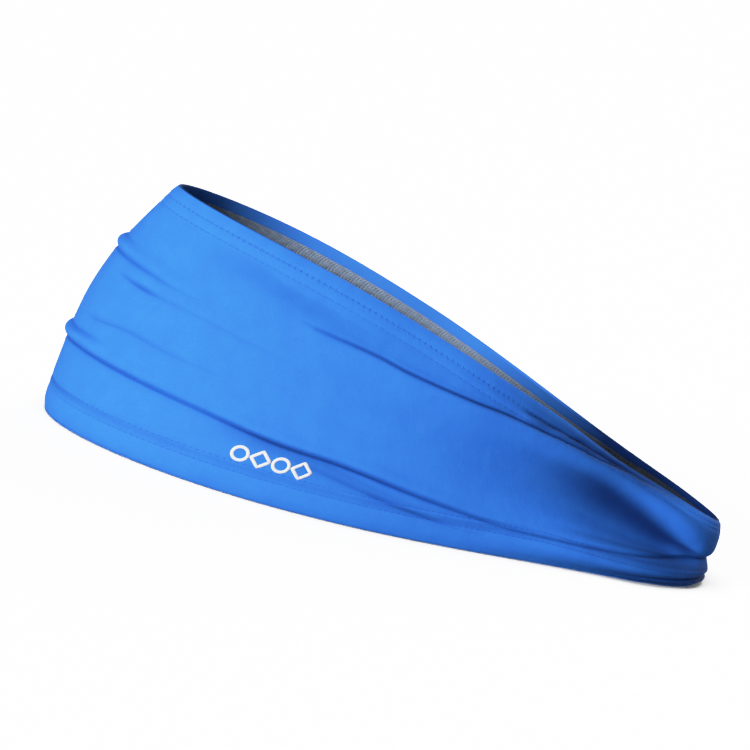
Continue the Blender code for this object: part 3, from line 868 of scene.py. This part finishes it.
def hem_braid(name, edge, rows, loop_length):
    """Strand: along = stitch * (k + t + lean * sin(4 pi t)), across = half width * cos(2 pi t).
    It rides over the other strand where it crosses the middle."""
    count = int(round(loop_length / STITCH))
    t = np.arange(count * 10) / 10
    middle, half = (rows[0] + rows[1]) / 2 + 0.1 * MM, (rows[1] - rows[0]) / 2 + 0.7 * MM
    strands, normals = [], []
    for offset in (0.0, 0.5):
        s = (t + 0.16 * np.sin(4 * math.pi * (t + offset))) / count
        across = middle + half * np.cos(2 * math.pi * (t + offset))
        h = level(s, edge, across)
        over = STRAND_OVER + 0.06 * MM * np.cos(4 * math.pi * (t + offset) + 1.5)
        strands.append(cloth(s, h, -(HEM_DEPTH + over)))
        normals.append(wall_normal(s, h))
    # Painted shade on the braid: darker towards the nape and a little at the forehead
    shade = np.broadcast_to(painted_shade_inside((t / count) % 1.0), (2, len(t)))
    tubes(name, np.array(strands), np.array(normals), STRAND_RADIUS, shade, grey_thread,
          "looper_thread", name.replace("_braid", ""), closed=True, sides=5)
    s = np.arange(AROUND)[:, None] / AROUND
    corners = ((-half, 0.0), (-half, 0.44 * MM), (0.0, 0.56 * MM), (half, 0.48 * MM),
               (half, -0.6 * MM))
    mat = np.stack([cloth(s[:, 0], level(s[:, 0], edge, middle + a), -HEM_DEPTH - d)
                    for a, d in corners], 1)
    uv = np.stack(np.broadcast_arrays(np.arange(6) / 5, np.arange(AROUND + 1)[:, None]
                                      * 0.9 * MM), -1)
    mesh = grid_mesh(name + "_fuzz", mat, uv)
    # The mat takes the same painted shade
    put_values(mesh, "painted_shade", np.repeat(painted_shade_inside(s), 5, 1))
    piece(name.replace("_braid", "_fuzz"), mesh, grey_thread, "looper_thread",
          name.replace("_braid", ""))


for edge, rows, length in HEMS:
    hem_braid(f"{edge}_hem_looper_thread_braid", edge, rows, length)

# %% [markdown]
# ## The nape seam
#
# One flat seam joins the panel's ends. The cut edges meet without a lap, two rows of stitches
# hold them, and a looper thread covers the join inside.

# %% Stitches either side of the join
SEAM_HALF = 2.5 * MM
SEAM_STITCH = 1.9 * MM
seam_length = float(wall_length(0.0))
seam_count = int(seam_length * 0.9 / SEAM_STITCH)


def seam_stitches(name, side):
    """Short arcs up the seam, SEAM_HALF to one side of it."""
    h = 0.05 + 0.90 * (np.arange(seam_count)[:, None] + ARC) / seam_count
    s = np.full(h.shape, side * SEAM_HALF / ROUND)
    paths = cloth(s, h, -0.22 * MM + 0.36 * MM * np.sin(math.pi * ARC))
    # Each stitch takes the painted shade of the cloth under it
    return tubes(name, paths, wall_normal(s, h), THREAD / 2, painted_shade(s, h), blue_thread,
                 "needle_thread", name.replace("_stitches", ""))


seam_stitches("nape_seam_left_needle_thread_stitches", 1)
seam_stitches("nape_seam_right_needle_thread_stitches", -1)
t = np.arange(seam_count * 10 + 1) / 10
seam_h = 0.06 + 0.88 * t / seam_count
paths, normals = [], []
for offset in (0.0, 0.5):
    seam_s = (SEAM_HALF + 0.3 * MM) / ROUND * np.cos(2 * math.pi * (t + offset))
    low, high = from_edges(seam_s, seam_h)
    hem = np.clip(((LOWER_ROWS[1] + RAW_EDGE) - low) / MM + 1, 0, 1)
    hem = np.maximum(hem, np.clip(((UPPER_ROWS[1] + RAW_EDGE) - high) / MM + 1, 0, 1))
    depth = (KNIT + (HEM_DEPTH - KNIT) * hem + STRAND_OVER
             + 0.12 * MM * np.cos(4 * math.pi * (t + offset)))
    paths.append(wall(seam_s, seam_h) + wall_normal(seam_s, seam_h)
                 * (outward(seam_s, seam_h) - depth)[..., None])
    normals.append(wall_normal(seam_s, seam_h))
# Painted shade: the seam's braid is painted dark all along
tubes("nape_seam_looper_thread_braid", np.array(paths), np.array(normals), STRAND_RADIUS,
      np.full((2, len(t)), 0.8), grey_thread, "looper_thread", "nape_seam_looper_thread", sides=5)

# %% [markdown]
# ## Marks
#
# Low on the left side is a small white mark, pressed on with heat. Here it is a plain row of
# rings and diamonds. Inside, near the nape, a pale care print has the same plain shapes. Both
# are thin film, drawn as flat strips that follow every fold of the cloth under them.

# %% Strips of film that lie on the cloth
def film(name, outlines, width, place, material, slot, node, thick=0.12 * MM):
    """A flat strip of the given width along each closed outline (x along, y up, in metres).
    Its section is a thin rectangle: two rows on the cloth's face and two just over it."""
    outlines = np.array(outlines)
    ahead = np.roll(outlines, -1, 1) - np.roll(outlines, 1, 1)
    ahead /= np.linalg.norm(ahead, axis=-1, keepdims=True)
    out = np.stack([ahead[..., 1], -ahead[..., 0]], -1)
    inner, outer = outlines - out * width / 2, outlines + out * width / 2
    sunk = -0.05 * MM
    points = np.stack([place(inner, sunk), place(inner, thick), place(outer, thick),
                       place(outer, sunk)], 2)
    n = points.shape[1]
    uv = np.stack(np.broadcast_arrays(np.arange(n + 1)[:, None] * 0.3 * MM,
                                      np.arange(5) * width / 4), -1)
    return piece(name, grid_mesh(name, points, uv), material, slot, node)


def ring(x, y, radius, corners, n=48):
    """A closed outline: a circle for corners = 0, or a four-cornered diamond for 4."""
    a = np.arange(n) / n * 2 * math.pi
    size = radius if corners == 0 else radius / (np.abs(np.cos(a)) + np.abs(np.sin(a)))
    return np.stack([x + size * np.cos(a), y + size * np.sin(a)], -1)


def film_finish(name, colour):
    """Heat-pressed film: satin, with the knit faintly pressed through and a few fine cracks."""
    material, tree, shader = finish_of(name, Specular_IOR_Level=0.4, Coat_Weight=0.05)
    knit = noise(tree, 1500.0)
    place = add(tree, "TexCoord").outputs["Object"]
    cracks = add(tree, "TexVoronoi", FEATURE="DISTANCE_TO_EDGE", Vector=place,
                 Scale=900.0).outputs["Distance"]
    worn = add(tree, "MapRange", i0=cracks, i1=0.0, i2=0.05, i3=1.0, i4=0.0).outputs[0]
    tree.links.new(blend_colours(tree, times(tree, worn, 0.25), colour,
                                 (0.40, 0.55, 0.85, 1)), shader.inputs["Base Color"])
    tree.links.new(add(tree, "MapRange", i0=knit, i3=0.35, i4=0.6).outputs[0],
                   shader.inputs["Roughness"])
    raise_by(tree, shader, knit, 0.5, 0.1 * MM)
    return material


MARK_MIDDLE, MARK_UP = 82.9 * MM, 14.0 * MM
CARE_FROM_NAPE, CARE_CLEAR = 60 * MM, 0.25 * MM


def on_left_side(at, lift):
    """x, y of the mark to the face of the cloth on the left side."""
    s = 0.5 - (MARK_MIDDLE + at[..., 0]) / ROUND
    return cloth(s, level(s, "lower", MARK_UP + at[..., 1]), lift)


def inside_nape(at, lift):
    """x, y of the care print to the back of the cloth, on the right of the nape."""
    s = 1 - (CARE_FROM_NAPE + at[..., 0]) / ROUND
    h = 0.5 + at[..., 1] / wall_length(s)
    depth = KNIT + lift + CARE_CLEAR
    return wall(s, h) + wall_normal(s, h) * (outward(s, h) - depth)[..., None]


white_film = film_finish("white_film", (0.86, 0.89, 0.94, 1))
grey_film = film_finish("pale_grey_film", (0.55, 0.60, 0.68, 1))
film("side_mark_film", [ring((k - 1.5) * 5.9 * MM, 0, 2.2 * MM if k % 2 == 0 else 2.7 * MM,
                             4 * (k % 2)) for k in range(4)],
     0.95 * MM, on_left_side, white_film, "white_print", "side_mark")
film("care_print_film", [ring((k - 1) * 6.6 * MM, y * MM, 2.2 * MM, 4 * ((k + y > 0) % 2))
                         for k in range(3) for y in (-3, 3)],
     0.6 * MM, inside_nape, grey_film, "care_print", "inside_care_mark")

# %% [markdown]
# ## The sheet
#
# The panel is cut about 112 mm deep at the forehead with both hems, down to 50 mm at the nape,
# and 500 mm round.

# %% [markdown]
# ## Floor, light and camera
#
# A plain pale floor, and one broad key from the forehead's left, low enough to reach over the
# near edge and light the far hem. It grazes the folds towards the nape, so that they read. A
# fill, a wide light from behind and a dim sky do the rest. A white floor would light the band
# from below, which flattens every fold, so the floor has its own overhead light and gives none
# to the cloth. The camera stands on the wearer's left, rolled so that the nape drops.

# %% Floor
scene = bpy.context.scene
floor_mesh = bpy.data.meshes.new("floor")
floor_mesh.from_pydata([(-60, -60, 0), (60, -60, 0), (60, 60, 0), (-60, 60, 0)], [], [(0, 1, 2, 3)])
floor = bpy.data.objects.new("floor", floor_mesh)
scene.collection.objects.link(floor)
floor.location.z = -0.0002
floor.visible_diffuse = False
paper, tree, shader = finish_of("pale_paper", Roughness=0.9, Specular_IOR_Level=0.1)
fleck = noise(tree, 400.0)
tree.links.new(blend_colours(tree, fleck, (0.86, 0.865, 0.87, 1), (0.90, 0.90, 0.90, 1)),
               shader.inputs["Base Color"])
floor_mesh.materials.append(paper)
floor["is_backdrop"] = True

# %% Light
SKY_ABOVE, SKY_BELOW = 0.06, 0.04
world = bpy.data.worlds.new("studio")
world.use_nodes = True
tree = world.node_tree
height = add(tree, "SeparateXYZ", Vector=add(tree, "TexCoord").outputs["Generated"]).outputs[2]
sky = add(tree, "MapRange", i0=height, i1=-0.5, i2=0.6, i3=SKY_BELOW, i4=SKY_ABOVE).outputs[0]
tree.links.new(sky, tree.nodes["Background"].inputs["Strength"])
tree.nodes["Background"].inputs["Color"].default_value = (1, 1, 1, 1)
scene.world = world


def sun(name, towards_light, strength, spread):
    """A sun lamp whose light comes from the given direction."""
    lamp = bpy.data.lights.new(name, "SUN")
    lamp.energy, lamp.angle = strength, math.radians(spread)
    made = bpy.data.objects.new(name, lamp)
    made.rotation_mode = "QUATERNION"
    made.rotation_quaternion = Vector(towards_light).to_track_quat("Z", "Y")
    scene.collection.objects.link(made)
    return made


sun("key", (0.66, -0.72, 0.26), 4.25, 20)
sun("fill", (0.96, -0.18, 0.20), 0.85, 24)
sun("back_light", (-0.75, 0.62, 0.42), 1.9, 50)
overhead = sun("floor_light", (0.1, -0.2, 1.0), 6.5, 50)
floor_only = bpy.data.collections.new("floor_only")
floor_only.objects.link(floor)
overhead.light_linking.receiver_collection = floor_only

# %% Camera
AIM = Vector((0.0, 0.0, 0.040))
AZIMUTH, ELEVATION, ROLL, DISTANCE = -12.0, 10.5, 17.25, 0.9
az, el, roll = map(math.radians, (AZIMUTH, ELEVATION, ROLL))
back = Vector((math.cos(el) * math.cos(az), math.cos(el) * math.sin(az), math.sin(el)))
right = Vector((0, 0, 1)).cross(back).normalized()
up = back.cross(right)
camera_right = right * math.cos(roll) + up * math.sin(roll)
camera_up = up * math.cos(roll) - right * math.sin(roll)
camera = bpy.data.objects.new("camera", bpy.data.cameras.new("camera"))
camera.data.lens = 135.3
camera.data.sensor_width = 36
camera.data.shift_x, camera.data.shift_y = -0.0553, 0.0033
camera.matrix_world = Matrix.Translation(AIM + back * DISTANCE) @ Matrix(
    (camera_right, camera_up, back)).transposed().to_4x4()
scene.collection.objects.link(camera)
scene.camera = camera

# %% [markdown]
# A camera doesn't clip its brightest tones, it bends them over. The curve leaves values up to
# two thirds alone and folds the rest, up to 2.5, into what is left, so that the lit blue keeps
# its depth and the floor is still white.

# %% A film shoulder
look = scene.view_settings
look.view_transform = "Standard"
look.use_curve_mapping = True
shoulder = look.curve_mapping
shoulder.white_level = (2.5, 2.5, 2.5)
curve = shoulder.curves[3]
for x, y in ((0.1, 0.25), (0.2, 0.5), (0.266, 0.665), (0.36, 0.79), (0.48, 0.88), (0.7, 0.95)):
    curve.points.new(x, y)
shoulder.update()

# %% Sizes, and the end
low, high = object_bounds()
print("visual box in mm:", [round((b - a) * 1000, 1) for a, b in zip(low, high)])
